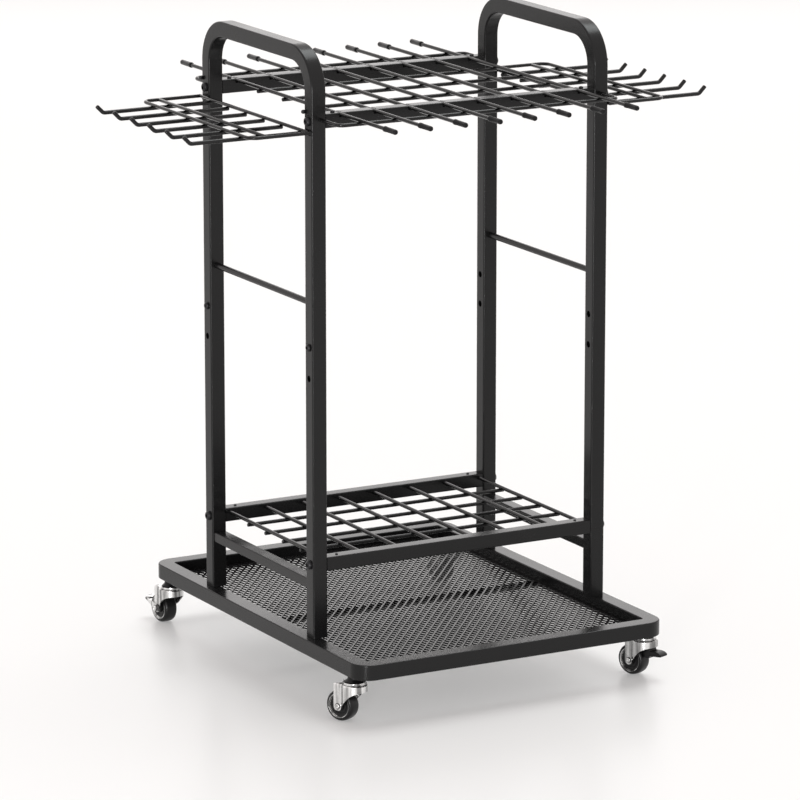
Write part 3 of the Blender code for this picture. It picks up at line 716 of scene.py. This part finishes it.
class CART_OT_stage(bpy.types.Operator):
    """Sets up the camera, the floor and the studio light"""

    bl_idname = "tool_cart.stage"
    bl_label = "Stage"

    def execute(self, context):
        studio = context.scene.cart_studio
        context.scene.view_settings.view_transform = "Standard"
        self.camera(context.scene, studio)
        self.floor(studio)
        self.world(context.scene, studio)
        self.lamps(studio)
        return {"FINISHED"}

    def camera(self, scene, studio):
        azimuth, elevation = studio.azimuth, studio.elevation
        side = Vector((math.cos(azimuth), math.sin(azimuth), 0))
        ahead = Vector((-math.sin(azimuth) * math.cos(elevation), math.cos(azimuth) * math.cos(elevation),
                        -math.sin(elevation)))
        aim = at(0, 0, studio.look_height) + side * studio.look_side
        fresh()
        bpy.ops.object.camera_add(
            location=aim - ahead * studio.distance, rotation=(math.pi / 2 - elevation, 0, azimuth))
        camera = bpy.context.view_layer.objects.active
        camera.name = "camera"
        camera.data.lens = studio.lens
        camera.data.clip_end = 100
        scene.camera = camera

    def floor(self, studio):
        fresh()
        bpy.ops.mesh.primitive_plane_add(size=60, location=(0, 0, 0))
        floor = settled()
        floor.name = "studio_floor"
        paint = Paint(
            "studio_floor", Roughness=studio.floor_roughness, Specular_IOR_Level=studio.floor_specular)
        pale = studio.floor_colour
        cloud = paint.mix(paint.noise(0.8, 3.0), shade(pale, 0.99), shade(pale))
        paint.feed(paint.shader, {"Base Color": cloud})
        white = paint.node("ShaderNodeEmission", {}, {"Color": (1, 1, 0.995, 1)})
        surface = paint.node("ShaderNodeMixShader", {}, {
            0: paint.seen() * studio.floor_glow, 1: Value(paint, paint.shader.outputs[0]), 2: white})
        paint.feed(paint.tree.nodes["Material Output"], {"Surface": surface})
        floor.data.materials.append(paint.material)

    def world(self, scene, studio):
        """Even light from all round, which is seen at full strength."""
        scene.world = bpy.data.worlds.new("studio")
        scene.world.use_nodes = True
        nodes = Nodes(scene.world.node_tree)
        nodes.feed(nodes.tree.nodes["Background"], {
            "Color": shade(studio.fill_colour), "Strength": nodes.seen() * (1 - studio.fill) + studio.fill})

    def lamps(self, studio):
        for name, spot, target, size, power in (
            ("key_lamp", (-2.6, -3.2, 0.5), (0, 0, 0.4), (0.3, 0.9), studio.key),
            ("back_lamp", (2.5, 4.6, 1.75), (0, 0, 0.4), (5.0, 2.2), studio.back),
            ("top_lamp", (1.0, 0.65, 3), (0, 0, 0), None, studio.top),
        ):
            fresh()
            bpy.ops.object.light_add(type="AREA" if size else "SUN", location=spot)
            lamp = bpy.context.view_layer.objects.active
            lamp.name = name
            lamp.rotation_euler = (Vector(target) - Vector(spot)).to_track_quat("-Z", "Y").to_euler()
            lamp.data.energy = power
            lamp.visible_camera = False
            if size:
                lamp.data.shape = "RECTANGLE"
                lamp.data.size, lamp.data.size_y = size
            else:
                lamp.data.angle = studio.top_spread
                lamp.data.color = studio.top_colour


class CART_OT_tray(bpy.types.Operator):
    """Builds the tray: rim, expanded mesh and the bar below it"""

    bl_idname = "tool_cart.tray"
    bl_label = "Tray"

    def execute(self, context):
        sizes = context.scene.cart_sizes
        rim = border(RIM_LOW, RIM_HIGH, sizes.rim_width, sizes.rim_corner)
        round_edges(rim, sizes.edge, 4)
        dress(rim, "tray_rim_tube", "black_powder_coat", ["tray_rim"], flat=True)
        self.mesh(sizes)
        bar = block(*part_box("mesh_support_bar"))
        round_edges(bar, 0.8 * MM, 2)
        dress(bar, "tray_support_bar", "black_powder_coat", ["mesh_support_bar"], flat=True)
        return {"FINISHED"}

    def mesh(self, sizes):
        """Expanded sheet: each strand tilts the same way, as it does where a slit sheet is pulled open."""
        low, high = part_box("tray_mesh")
        step_x = (high.x - low.x) / sizes.mesh_columns
        step_y = (high.y - low.y) / sizes.mesh_rows
        middle = Vector((low.x + step_x / 2, low.y + step_y / 2, high.z - 0.9 * MM))
        fresh()
        bpy.ops.mesh.primitive_circle_add(vertices=4, radius=0.5, fill_type="NGON", location=middle)
        bpy.context.object.scale = (step_x, step_y, 1)
        ring = settled()
        with editing(ring):
            bpy.ops.mesh.inset(thickness=sizes.strand)
            bpy.ops.mesh.delete(type="FACE")
            for sign in (1, -1):
                pick("VERT", lambda vert: 0.05 < sign * (vert.co.y - middle.y) / step_y < 0.45)
                bpy.ops.transform.translate(value=(0, 0, sign * sizes.strand_tilt))
        between = copied(ring, (step_x / 2, step_y / 2, 0))
        for family, less in ((ring, 0), (between, 1)):
            row(family, sizes.mesh_columns - less, (step_x, 0, 0))
            row(family, sizes.mesh_rows - less, (0, step_y, 0))
        net = joined(ring, between)
        with editing(net):
            bpy.ops.mesh.remove_doubles(threshold=0.02 * MM)
            faces_out()
        modify(net, "SOLIDIFY", thickness=sizes.strand_thick, offset=0)
        edging = border(low, high, 3.2 * MM)
        round_edges(edging, 0.4 * MM, 2)
        dress(joined(net, edging), "tray_expanded_mesh", "black_expanded_metal", ["tray_mesh"], angle=25)


class CART_OT_side_frames(bpy.types.Operator):
    """Builds the two bent side frames with their lower bars and mid rods"""

    bl_idname = "tool_cart.side_frames"
    bl_label = "Side frames"

    def execute(self, context):
        sizes = context.scene.cart_sizes
        tube = self.tube(sizes)
        left = mirrored(tube)
        dress(tube, "right_frame_tube", "black_powder_coat", ["right_side_frame"], flat=True)
        dress(left, "left_frame_tube", "black_powder_coat", ["left_side_frame"], flat=True)
        for side in ("left", "right"):
            bar = block(*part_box(f"{side}_lower_crossbar"))
            round_edges(bar, sizes.edge, 3, lambda edge: along(edge, BACK))
            dress(bar, f"{side}_lower_bar", "black_powder_coat", [f"{side}_lower_crossbar"], flat=True)
            low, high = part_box(f"{side}_mid_rod")
            middle = (low + high) / 2
            rod = Run((middle.x, low.y, middle.z), BACK, high.z - low.z, 24).go(high.y - low.y).close()
            dress(rod, f"{side}_cross_rod", "black_powder_coat", [f"{side}_mid_rod"])
        return {"FINISHED"}

    def tube(self, sizes):
        """The right frame: up the front post, over the handle and down the back post."""
        low, high = SIDE_LOW, SIDE_HIGH
        half, bend = sizes.post / 2, sizes.handle_bend
        rise = high.z - low.z - half - bend
        x, front = high.x - half, low.y + half
        run = Run((x, front, low.z), UP, sizes.post, corner=sizes.post_corner)
        run.go(rise).turn(BACK, bend, 90, 16)
        run.go(high.y - low.y - sizes.post - 2 * bend).turn(DOWN, bend, 90, 16).go(rise)
        tube = modify(run.open(), "SOLIDIFY", thickness=sizes.post_wall, offset=-1, use_even_offset=True)
        for y in (front, high.y - half):
            for z in (SPARE_HOLE_Z, MID_BOLT_Z):
                drill = Run((x - sizes.post, y, z), RIGHT, sizes.bolt_hole, 20)
                carve(tube, drill.go(2 * sizes.post).close())
        return tube


class CART_OT_rails(bpy.types.Operator):
    """Builds the four square rails between the side frames"""

    bl_idname = "tool_cart.rails"
    bl_label = "Rails"

    def execute(self, context):
        sizes = context.scene.cart_sizes
        for end in ENDS:
            for level in ("lower", "top"):
                node = f"{end}_{level}_rail"
                low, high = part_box(node)
                rail = block(low, high)
                round_edges(rail, sizes.edge, 3, lambda edge: along(edge, RIGHT))
                if level == "top":
                    self.notch(rail, low, high, sizes.wire + 0.6 * MM)
                dress(rail, f"{end}_{level}_rail_tube", "black_powder_coat", [node], flat=True)
        return {"FINISHED"}

    def notch(self, rail, low, high, slot):
        """Cuts a slot for each of the top grid's wires."""
        x, half = first_of(WIRES, TOP_PITCH), slot / 2
        tool = block((x - half, low.y - slot, high.z - slot), (x + half, high.y + slot, high.z + slot))
        carve(rail, row(tool, WIRES, (TOP_PITCH, 0, 0)))


class CART_OT_grids(bpy.types.Operator):
    """Builds the lower grid and the top grid with its brace wires and end caps"""

    bl_idname = "tool_cart.grids"
    bl_label = "Grids"

    def execute(self, context):
        wire = context.scene.cart_sizes.wire
        self.lower(wire)
        self.top(wire)
        self.caps()
        return {"FINISHED"}

    def lower(self, wire):
        low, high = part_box("lower_grid")
        crosses, pitch = 4, 48 * MM
        start = (first_of(WIRES, LOWER_PITCH), low.y, high.z - wire / 2)
        long = row(Run(start, BACK, wire).go(high.y - low.y).close(), WIRES, (LOWER_PITCH, 0, 0))
        cross = Run(at(low.x, first_of(crosses, pitch), low.z + wire / 2), RIGHT, wire)
        cross = row(cross.go(high.x - low.x).close(tip=0.8 * MM), crosses, (0, pitch, 0))
        dress(joined(long, cross), "lower_grid_wires", "black_wire", ["lower_grid"])

    def top(self, wire):
        crosses, pitch, overhang = 3, 68 * MM, 4 * MM
        brace_x, brace_y, bend = 198 * MM, 195 * MM, 9 * MM
        cross_z = TOP_WIRE_Z - wire + WELD
        first, wire_end = first_of(WIRES, TOP_PITCH), TRAY_HALF - 2 * MM
        long = Run(at(first, -wire_end, TOP_WIRE_Z), BACK, wire).go(2 * wire_end).close()
        row(long, WIRES, (TOP_PITCH, 0, 0))
        cross = Run(at(first - overhang, first_of(crosses, pitch), cross_z), RIGHT, wire)
        cross = row(cross.go(2 * (overhang - first)).close(tip=0.8 * MM), crosses, (0, pitch, 0))
        foot = FRAME_HALF + AIR * MM
        leg = brace_y - bend - foot
        brace = Run(at(-brace_x, foot, cross_z), BACK, wire).go(leg).turn(RIGHT, bend)
        brace = brace.go(2 * (brace_x - bend)).turn(FRONT, bend).go(leg).close()
        front_brace = mirrored(brace, "Y")
        dress(joined(long, cross, brace, front_brace), "top_grid_wires", "black_wire", ["top_grid"])

    def caps(self):
        """A sleeve on each wire's end, with a bead round its mouth."""
        caps = turned(at(first_of(WIRES, TOP_PITCH), -TRAY_HALF, TOP_WIRE_Z), BACK, [
            (0, 2.0), (0.5, 2.8), (1.6, 3.25), (3, 3.3), (24.5, 3.3), (25, 3.6), (28.2, 3.6), (28.8, 3.3),
            (29, 2.8), (28, 2.6), (27, 2.55)], 20)
        row(caps, WIRES, (TOP_PITCH, 0, 0))
        for end, piece in zip(ENDS, (caps, mirrored(caps, "Y"))):
            nodes = [f"{end}_wire_cap_{number}" for number in range(1, WIRES + 1)]
            dress(piece, f"{end}_end_caps", "black_plastic_cap", nodes)


class CART_OT_hook_racks(bpy.types.Operator):
    """Builds the two side racks, each a wire loop with six hooks"""

    bl_idname = "tool_cart.hook_racks"
    bl_label = "Hook racks"

    def execute(self, context):
        sizes = context.scene.cart_sizes
        wire, z = sizes.rack_wire, RAIL_TOP - 21.5 * MM
        inner, middle, outer = (POST_FACE + out * MM for out in (2.5, 61, 84))
        side, bend, stub = FRAME_HALF, 12 * MM, 2 * MM
        loop = Run(at(inner, side, z), RIGHT, wire).go(outer - inner - bend).turn(FRONT, bend)
        loop = loop.go(2 * (side - bend)).turn(LEFT, bend).go(outer - inner - bend).close()
        inside = Run(at(inner, -side - stub, z), BACK, wire).go(2 * (side + stub)).close(tip=0.7 * MM)
        bar = Run(at(middle, -side, z), BACK, wire).go(2 * side).close(tip=0.7 * MM)
        hook_z = z - (wire + sizes.hook_wire) / 2 + WELD
        rack = joined(loop, inside, bar, self.hooks(inner - stub, hook_z, sizes.hook_wire))
        left = mirrored(rack)
        dress(rack, "right_rack_wires", "black_wire", ["right_hook_rack"])
        dress(left, "left_rack_wires", "black_wire", ["left_hook_rack"])
        return {"FINISHED"}

    def hooks(self, start, z, wire):
        """Six arms that turn up at their tips."""
        count, elbow, tip, bend, lift = 6, POST_FACE + 152 * MM, 13 * MM, 6 * MM, 45
        taken = bend * math.tan(math.radians(lift / 2))
        arm = Run(at(start, first_of(count, TOP_PITCH), z), RIGHT, wire, 16).go(elbow - taken - start)
        arm.turn(UP, bend, lift, 6).go(tip - taken)
        return row(arm.close(tip=1.3 * MM), count, (0, TOP_PITCH, 0))


class CART_OT_fasteners(bpy.types.Operator):
    """Adds the rail bolts, mid bolts, rack screws, the brace wires' domed nuts and the grid screws"""

    bl_idname = "tool_cart.fasteners"
    bl_label = "Fasteners"

    def execute(self, context):
        post = FRAME_HALF - context.scene.cart_sizes.post / 2
        sides = ((-1, "left", LEFT), (1, "right", RIGHT))
        self.rail_bolts(sides)
        small = []
        for sign, _, way in sides:
            for y in (-post, post):
                small += self.post_screws(sign, way, y)
        small += self.grid_screws(post)
        dress(joined(*small), "small_screws", "black_bolt")
        return {"FINISHED"}

    def rail_bolts(self, sides):
        heads, nodes = [], []
        for sign, side, way in sides:
            for end in ENDS:
                for level in ("lower", "top"):
                    low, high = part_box(f"{end}_{level}_rail")
                    middle = (low + high) / 2
                    spot = (sign * (POST_FACE + 0.1 * MM), middle.y, middle.z)
                    heads.append(bolt(spot, way, 11.7 * MM, 4 * MM, 25 * MM))
                    nodes.append(f"{end}_{side}_{level}_bolt")
        dress(joined(*heads), "rail_bolts", "black_bolt", nodes)

    def post_screws(self, sign, way, y):
        """On one post's outer face: the mid bolt, the rack's screw and the brace wire's domed nut."""
        rack_y, rack_z = y * 1.02, RAIL_TOP - 23.5 * MM
        nut_y, nut_z = y + 8.4 * MM, RAIL_TOP + 2 * MM
        return [
            bolt(at(sign * (POST_FACE + 0.1 * MM), y, MID_BOLT_Z), way, 9.4 * MM, 3.2 * MM, 3 * MM),
            bolt(at(sign * POST_FACE, rack_y, rack_z), way, 6.4 * MM, 2.6 * MM, 3 * MM),
            turned(at(sign * (POST_FACE - 1.5 * MM), nut_y, nut_z), way, [
                (0, 1.6), (1.6, 2.3), (3, 2.7), (4.6, 2.5), (5.6, 1.7), (6.1, 0.6)], 16),
        ]

    def grid_screws(self, post):
        """On top of the rails, near their ends."""
        lower_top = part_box("front_lower_rail")[1].z
        return [
            bolt(at(x, y, z), UP, head, head * 0.36, 2 * MM)
            for z, reach, head in ((RAIL_TOP, 177 * MM, 5.6 * MM), (lower_top, 173 * MM, 3.6 * MM))
            for y in (-post, post) for x in (-reach, reach)]


class CART_OT_casters(bpy.types.Operator):
    """Builds the four swivel casters and the two foot brakes"""

    bl_idname = "tool_cart.casters"
    bl_label = "Casters"

    def execute(self, context):
        for name, turn, brake in CASTERS:
            low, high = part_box(f"{name}_caster_stem")
            centre = (low + high) / 2
            self.build(name, Vector((centre.x, centre.y, 0)), math.radians(turn), brake)
        return {"FINISHED"}

    def build(self, name, foot, turn, brake):
        """One caster; its moving pieces are made at the origin, and then turned and moved."""
        fork, roller = f"{name}_fork", f"{name}_roller"
        reach = YOKE_HALF + AIR
        if brake == "fork":
            reach += LEVER_SHEET + AIR

        def put(piece, title, slot, body, *nodes):
            """Turns a moving piece the caster's way, sets it under the stem and dresses it."""
            only(piece)
            piece.rotation_euler.z = turn
            piece.location = foot
            dress(settled(), title, slot, nodes, body, 40, True)

        dress(self.stem(foot), f"{name}_stem", "zinc_plate", [f"{name}_caster_stem"])
        dress(self.disc(foot), f"{name}_dust_disc", "black_plastic_cap")
        put(self.yoke(brake), f"{name}_yoke", "zinc_plate", fork, f"{name}_caster_yoke")
        put(self.wheel(), f"{name}_tread", "black_wheel", roller, f"{name}_wheel")
        # Painted highlight: bright rings in the wheel's recesses
        put(self.painted_highlight_rings(), f"{name}_painted_highlight_rings", "zinc_plate", roller)
        put(self.axle(reach), f"{name}_rivet", "zinc_plate", fork, f"{name}_axle")
        # Painted shade: dark washers give the shaded gap round each rivet
        put(self.shade_washers(reach), f"{name}_washers", "black_bolt", fork)
        if brake:
            lever = self.fork_lever() if brake == "fork" else self.block_lever()
            slot = "zinc_plate" if brake == "fork" else "black_wheel"
            put(lever, f"{name}_pedal", slot, f"{name}_brake", f"{name}_brake_lever")

    def stem(self, foot):
        """Kingpin head, ball race, collar and stud, from below upwards."""
        return turned(foot, UP, [
            (45.1, 6.2), (45.5, 7.4), (47.4, 7.5), (47.5, 3.9), (49.9, 3.9), (49.9, 14.4), (50.3, 15),
            (51.2, 15), (51.5, 14.3), (52.4, 14.1), (52.7, 13.4), (52.5, 12), (51.8, 11.7), (51.8, 7),
            (59.5, 6.6), (59.6, 4), (77, 4), (78, 3.2)], 40)

    def disc(self, foot):
        """Dark disc that keeps dust off the race."""
        return turned(foot, UP, [
            (51.9, 7.2), (51.9, 11.4), (53.2, 11.6), (54, 11.1), (55.2, 9.4), (57.5, 8.5), (59.6, 8.3),
            (59.6, 6.8)], 40)

    def yoke(self, brake):
        """Pressed steel: a round dish in front that narrows to two flat legs."""
        dish, leg_front, leg_back, bottom, top = 16.5, 12.6, 24, 14, 49.5
        metal, corner, brow = 1.6 * MM, 1.6 * MM, 2.2 * MM
        shell = plate([
            (YOKE_HALF, leg_back), (YOKE_HALF, leg_front), *arc((0, 0), dish, 20, -200, 22),
            (-YOKE_HALF, leg_front), (-YOKE_HALF, leg_back)], UP, bottom, top - bottom)
        with editing(shell):
            pick("EDGE", lambda edge: along(edge, UP) and abs(edge.verts[0].co.y - leg_front * MM) < MM)
            bpy.ops.mesh.bevel(offset=corner, segments=4, affect="EDGES")
            pick("FACE", lambda face: face.normal.z < -0.9 or face.normal.y > 0.99)
            bpy.ops.mesh.delete(type="FACE")
            pick("EDGE", lambda edge: len(edge.link_faces) == 2
                 and min(vert.co.z for vert in edge.verts) > (top - 0.1) * MM)
            bpy.ops.mesh.bevel(offset=brow, segments=4, affect="EDGES")
        modify(shell, "SOLIDIFY", thickness=metal, offset=-1, use_even_offset=True)
        below = [
            (-17.5, 40.7), (-14, 40.3), (-11, 39.6), (-8, 38.4), (-5, 36.7), (-1.9, 34.3), (1.6, 30.8),
            (5.4, 26.6), (8.6, 23.2), *arc((TRAIL, WHEEL), 6, 180, 360, 12), (30, 20), (30, 5), (-17.5, 5)]
        carve(shell, plate(below, RIGHT, -20, 40))
        if not brake:
            back = [(-9, 30), (-9, 18.5), (-5, 15.6), (5, 15.6), (9, 18.5), (9, 30)]
            carve(shell, plate(back, UP, 45, 6))
        return soften(shell, 0.25 * MM, 55)

    def wheel(self):
        """Hard tread with a crowned face, a dished side and a ring rib."""
        return turned(AXLE, RIGHT, both_sides([
            (9, 3.1), (9, 6), (8.7, 6.5), (6.6, 6.9), (6.5, 9.4), (7.3, 9.7), (7.3, 10.5), (6.5, 10.8),
            (6.5, 13.8), (6.9, 14.3), (8.8, 14.5), (9, 15), (8.95, 16.3), (8.5, 17.6), (7.6, 18.8),
            (6.2, 19.5), (4.2, 19.85), (2, 19.97), (0, WHEEL)]), 56)

    def hoops(self, profile, sides):
        """The same hoop round the axle at the wheel's left and right."""
        return joined(*(
            turned(AXLE, RIGHT, [(sign * place, radius) for place, radius in profile], sides)
            for sign in (-1, 1)))

    def painted_highlight_rings(self):
        """Painted highlight: bright zinc bands lining the wheel's two recesses, standing in for the
        highlight on the recess walls.
        """
        return self.hoops([
            (6.6, 13.4), (8.9, 14.7), (9.05, 15), (9.05, 15.5), (8.6, 15.6), (6.4, 14.4), (6.6, 13.4)], 56)

    def shade_washers(self, reach):
        """Washers under the two rivet heads; their dark finish is painted shade, for the shaded gap round
        each rivet.
        """
        return self.hoops([
            (reach + place, radius) for place, radius in (
                (-0.3, 2.6), (-0.3, 3.7), (0.25, 3.8), (0.4, 3.6), (0.4, 2.6), (-0.3, 2.6))], 32)

    def axle(self, reach):
        """Rivet whose heads are dimpled in the middle."""
        return turned(AXLE, RIGHT, both_sides([
            (reach + 0.4, 0.8), (reach + 0.5, 1.3), (reach + 1.3, 1.7), (reach + 1.4, 2.2),
            (reach + 1.2, 2.9), (reach + 0.5, 3.2), (reach, 3)]), 32)

    def fork_lever(self):
        """Pedal behind the wheel on two arms that turn on the axle."""
        inner = YOKE_HALF + AIR
        outer = inner + LEVER_SHEET
        bridge, neck, tip, low, thick = 39.5, 44.3, 52, 27, 2
        side = arc((TRAIL, WHEEL), 4.7, 100, 280, 12)
        side += [(bridge, low - 2), (neck, low), (neck, low + thick), (bridge, low + thick)]
        arms = [plate(side, RIGHT, start, LEVER_SHEET) for start in (inner, -outer)]
        pedal = plate([
            (outer, bridge), (outer, neck), (6.5, tip), (-6.5, tip), (-outer, neck), (-outer, bridge)],
            UP, low, thick)
        round_edges(pedal, 1.6 * MM, 4, lambda edge: along(edge, UP)
                    and edge.verts[0].co.y > (neck - 1) * MM)
        return soften(joined(pedal, *arms), 0.3 * MM, 40)

    def block_lever(self):
        """Black brake block in front of the wheel, with its pedal and cross pin."""
        front, half = -13, 7
        side = [
            (-4.5, 26), (-4.5, 36), (-7.9, 43.5), (front, 43.5), (front, 36.5), (-22, 37), (-27, 36),
            (-30, 34.5), (-31, 32.5), (-30, 31), (front, 29.5), (front + 2.5, 26)]
        body = plate(side, RIGHT, -half, 2 * half)
        round_edges(body, 0.9 * MM, 3)
        pin = turned((0, -9.5 * MM, 44 * MM), RIGHT, [(-9.4, 1.2), (-9.1, 1.5), (9.1, 1.5), (9.4, 1.2)], 16)
        return joined(body, pin)


class CART_PT_panel(bpy.types.Panel):
    """Lists the cart's sizes, finishes and steps"""

    bl_idname = "CART_PT_panel"
    bl_label = "Garden Tool Cart"
    bl_space_type = "VIEW_3D"
    bl_region_type = "UI"
    bl_category = "Tool Cart"

    def draw(self, context):
        for group in (context.scene.cart_sizes, context.scene.cart_finish, context.scene.cart_studio):
            column = self.layout.box().column()
            for name in group.__annotations__:
                column.prop(group, name)
        for step in STEPS:
            self.layout.operator(step.bl_idname)


GROUPS = {"cart_sizes": CartSizes, "cart_finish": CartFinish, "cart_studio": CartStudio}
STEPS = (
    CART_OT_stage, CART_OT_tray, CART_OT_side_frames, CART_OT_rails, CART_OT_grids, CART_OT_hook_racks,
    CART_OT_fasteners, CART_OT_casters)


def register():
    for part in (*GROUPS.values(), *STEPS, CART_PT_panel):
        bpy.utils.register_class(part)
    for name, group in GROUPS.items():
        setattr(bpy.types.Scene, name, PointerProperty(type=group))


def unregister():
    for name in GROUPS:
        delattr(bpy.types.Scene, name)
    for part in (CART_PT_panel, *reversed(STEPS), *reversed(GROUPS.values())):
        bpy.utils.unregister_class(part)


def main():
    register()
    for step in STEPS:
        group, action = step.bl_idname.split(".")
        getattr(getattr(bpy.ops, group), action)()


if __name__ == "__main__":
    main()
